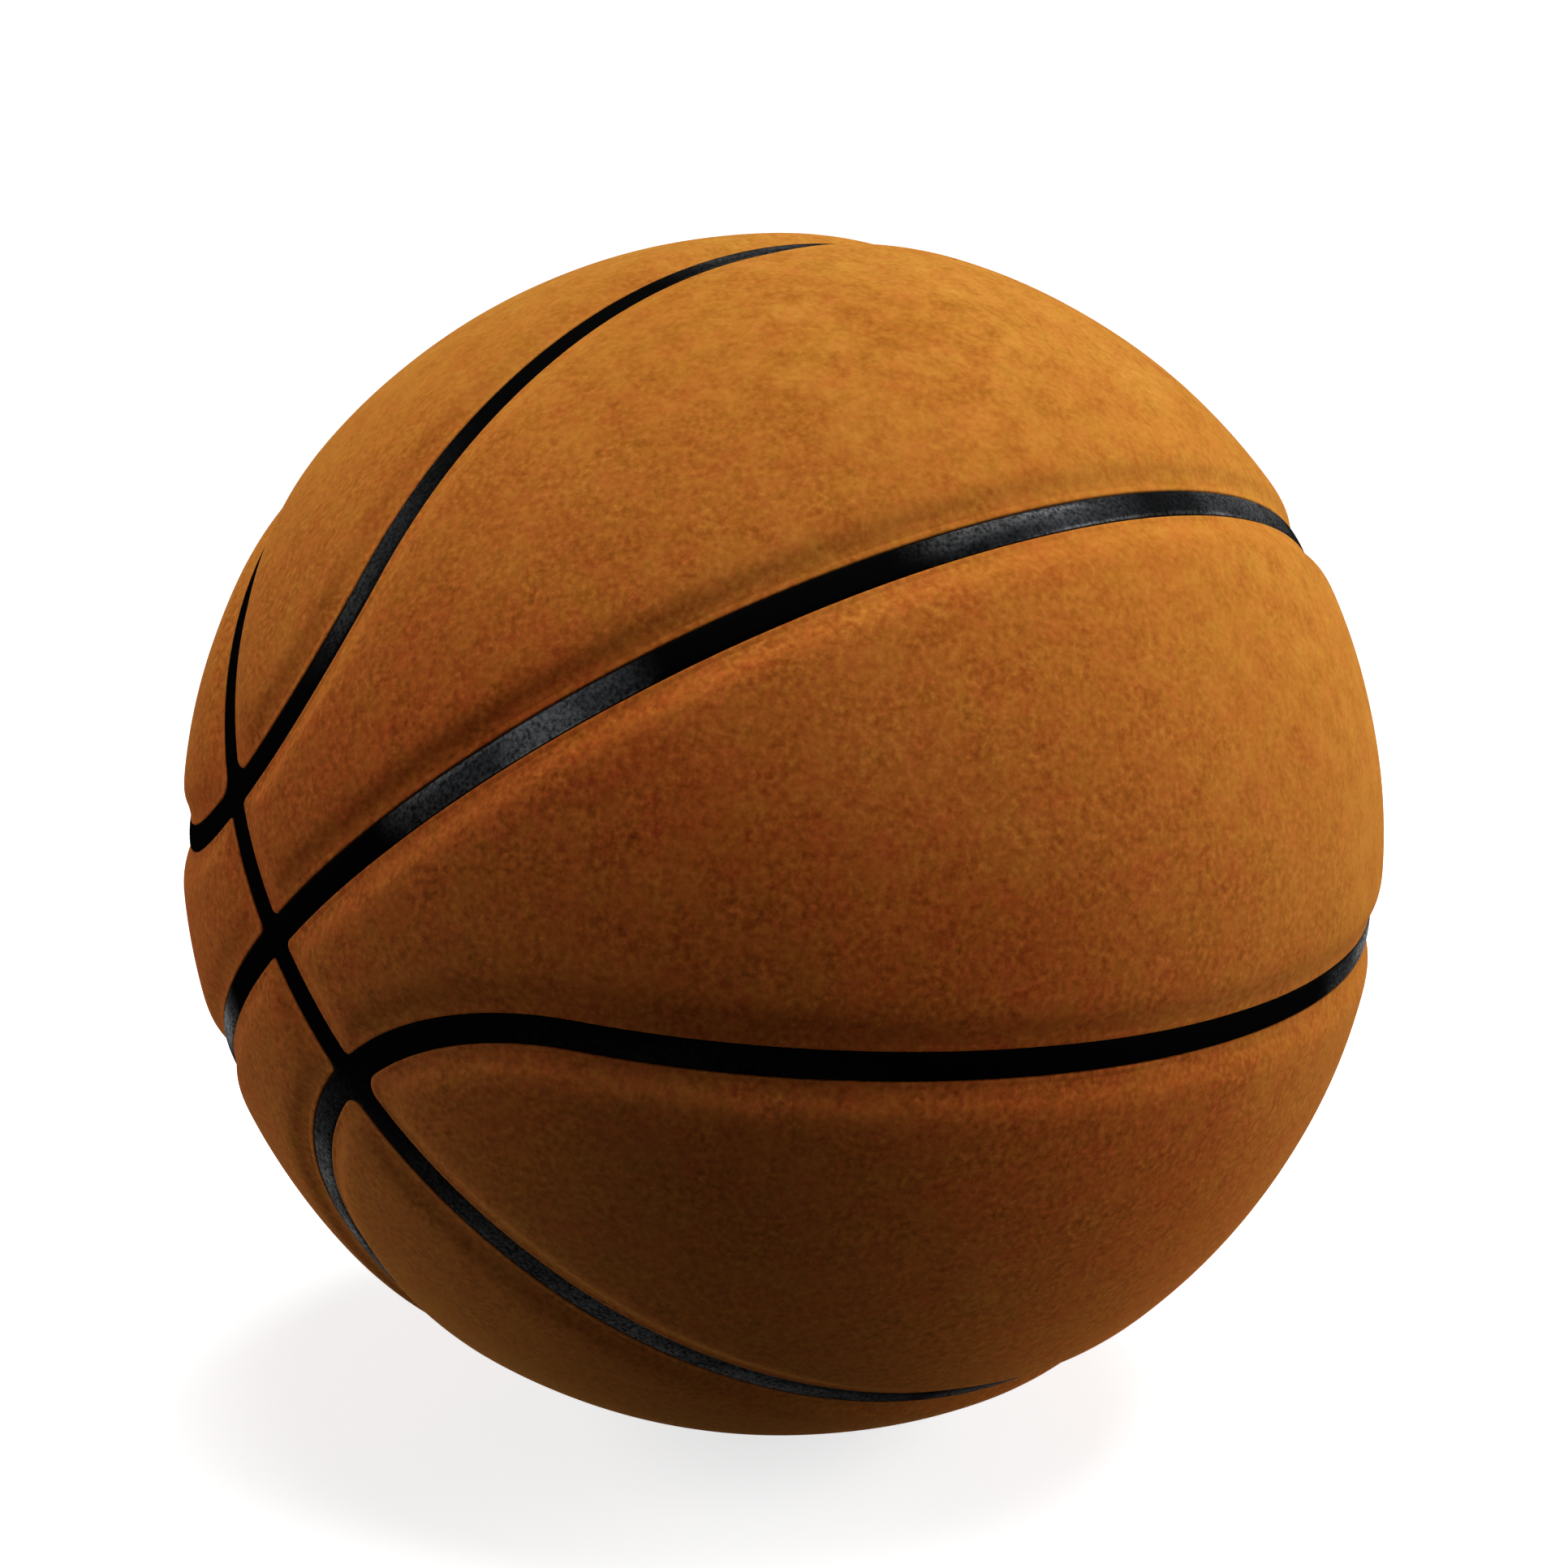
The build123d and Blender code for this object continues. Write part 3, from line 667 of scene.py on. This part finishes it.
for kind, edge_corner in PANEL_CORNERS.items():
    lip = CROWN - pressed(PANEL_EDGE)
    levels = [(inset, max(PANEL_FOOT, CROWN - LEATHER - pressed(inset)))
              for inset in UNDER_INSETS]
    levels.append((PANEL_EDGE, PANEL_FOOT + FOOT_RISE))
    levels += [(PANEL_EDGE + inward, lip - drop) for inward, drop in LIP_ROUNDING]
    levels += [(inset, CROWN - pressed(inset)) for inset in FACE_INSETS]
    rings = [(inset, level, rounded(kind, edge_corner, PANEL_EDGE, inset))
             for inset, level in levels]
    for quarter in range(len(QUARTERS)):
        bm = bmesh.new()
        skin(bm, kind, quarter, rings, FINENESS)
        bmesh.ops.recalc_face_normals(bm, faces=bm.faces)
        if (kind, quarter) == VALVE_PIECE:
            pierce(bm, [dome(radius, CROWN - drop) for radius, drop in VALVE_RIM])
            bmesh.ops.recalc_face_normals(bm, faces=bm.faces)
        from_seam = bm.verts.layers.float["from_seam"]
        for vert in bm.verts:
            wave = noise.noise(vert.co / UNEVEN_MM)
            line = math.exp(-((vert[from_seam] - LINE_PLACE) / LINE_WIDTH) ** 2)
            creased = LINE_DEPTH * line * max(0, LINE_SHARE + LINE_SWING * wave)
            sunk = UNEVEN * (WAVE_CREST - wave) + creased
            vert.co *= 1 - sunk / CROWN
        node = f"{kind}_panel_{quarter + 1}"
        place_piece(node + "_visual", bm, leather, "ball", [node])


# Floor and backdrop
# A plain pale table that sweeps up behind the ball, white to the eye, with the ball's shadow.
# It is painted board, bent in one sheet. Its sizes and those of the lights are in metres.
FLOOR_LEVEL = -0.121
FLOOR_FRONT = -1.2
FLOOR_SIDES = (-2.5, 2.5)
SWEEP = ((1.2, 0), (1.5, 0.04), (1.75, 0.14), (1.93, 0.3), (2.04, 0.52), (2.08, 0.8), (2.1, 2.6))
bm = bmesh.new()
row = [bm.verts.new((x, FLOOR_FRONT, FLOOR_LEVEL)) for x in FLOOR_SIDES]
edges = [bm.edges.new(row)]
for y, rise in SWEEP:
    row, edges = draw_out(bm, edges)
    for vert in row:
        vert.co = (vert.co.x, y, FLOOR_LEVEL + rise)
for face in bm.faces:
    face.smooth = True
mesh = bpy.data.meshes.new("floor")
bm.to_mesh(mesh)
bm.free()
floor = bpy.data.objects.new("floor", mesh)
bpy.context.scene.collection.objects.link(floor)


def seen(tree):
    """One for a ray from the eye, off a gloss or through a clear piece, and nought for others."""
    path = add(tree, "LightPath")
    glossy = add(tree, "Math", {0: path.outputs["Is Camera Ray"],
                                1: path.outputs["Is Glossy Ray"]}, operation="MAXIMUM")
    clear = add(tree, "Math", {0: glossy.outputs[0], 1: path.outputs["Is Transmission Ray"]},
                operation="MAXIMUM")
    return clear.outputs[0]


# Painted board: it looks white, and sends only a little light back up at the ball.
board = bpy.data.materials.new("white_painted_board")
board.use_nodes = True
tree = board.node_tree
tree.nodes.clear()
dim = add(tree, "BsdfDiffuse", {"Color": linear("#5a5a5a")})
pale = add(tree, "BsdfDiffuse", {"Color": linear("#f4f4f4")})
place = add(tree, "TexCoord").outputs["Object"]
away = add(tree, "VectorMath", {0: place}, operation="LENGTH")
lift = add(tree, "MapRange", {"Value": away.outputs["Value"], "From Min": 0.25, "From Max": 0.9,
                              "To Min": 0.72, "To Max": 1.0})
glow = add(tree, "Emission", {"Color": linear("#ffffff"), "Strength": lift.outputs["Result"]})
white = add(tree, "AddShader", {0: pale.outputs[0], 1: glow.outputs[0]})
both = add(tree, "MixShader", {0: seen(tree), 1: dim.outputs[0], 2: white.outputs[0]})
add(tree, "OutputMaterial", {"Surface": both.outputs[0]})
mesh.materials.append(board)


# Light and camera
# One large soft box hangs overhead and a little in front, and one stands at each side, level
# with the ball. The camera looks down a little, from the photograph's place.
ROOM_LIGHT = 0.004
world = bpy.data.worlds.new("studio")
bpy.context.scene.world = world
world.use_nodes = True
tree = world.node_tree
tree.nodes.clear()
room = add(tree, "Background", {"Color": linear("#ffffff"), "Strength": ROOM_LIGHT})
white = add(tree, "Background", {"Color": linear("#ffffff"), "Strength": 1.0})
both = add(tree, "MixShader", {0: seen(tree), 1: room.outputs[0], 2: white.outputs[0]})
add(tree, "OutputWorld", {"Surface": both.outputs[0]})

BOX_DISTANCE = 1.0
BOX_SIZE = 0.8
SOFT_BOXES = (("overhead", (0.23, -0.1, 1.0), 13.2), ("right", (1.0, 0.0, 0.1), 9.4),
              ("left", (-1.0, 0.0, 0.2), 4.5))
for name, way, watts in SOFT_BOXES:
    lamp = bpy.data.lights.new(name, "AREA")
    lamp.size = BOX_SIZE
    lamp.energy = watts
    holder = bpy.data.objects.new(name, lamp)
    holder.location = Vector(way).normalized() * BOX_DISTANCE
    holder.rotation_euler = Vector(way).to_track_quat("Z", "Y").to_euler()
    bpy.context.scene.collection.objects.link(holder)

EYE_DISTANCE = 0.4915
EYE_HEIGHT = math.radians(10)
camera = bpy.data.cameras.new("camera")
camera.sensor_width = 36
camera.lens = 54.39
camera.shift_x = 0.0008
camera.shift_y = 0.032
camera.clip_start = 0.01
eye = bpy.data.objects.new("camera", camera)
eye.location = (0, -EYE_DISTANCE * math.cos(EYE_HEIGHT), EYE_DISTANCE * math.sin(EYE_HEIGHT))
eye.rotation_euler = (math.pi / 2 - EYE_HEIGHT, 0, 0)
bpy.context.scene.collection.objects.link(eye)
bpy.context.scene.camera = eye
bpy.context.scene.view_settings.view_transform = "Standard"
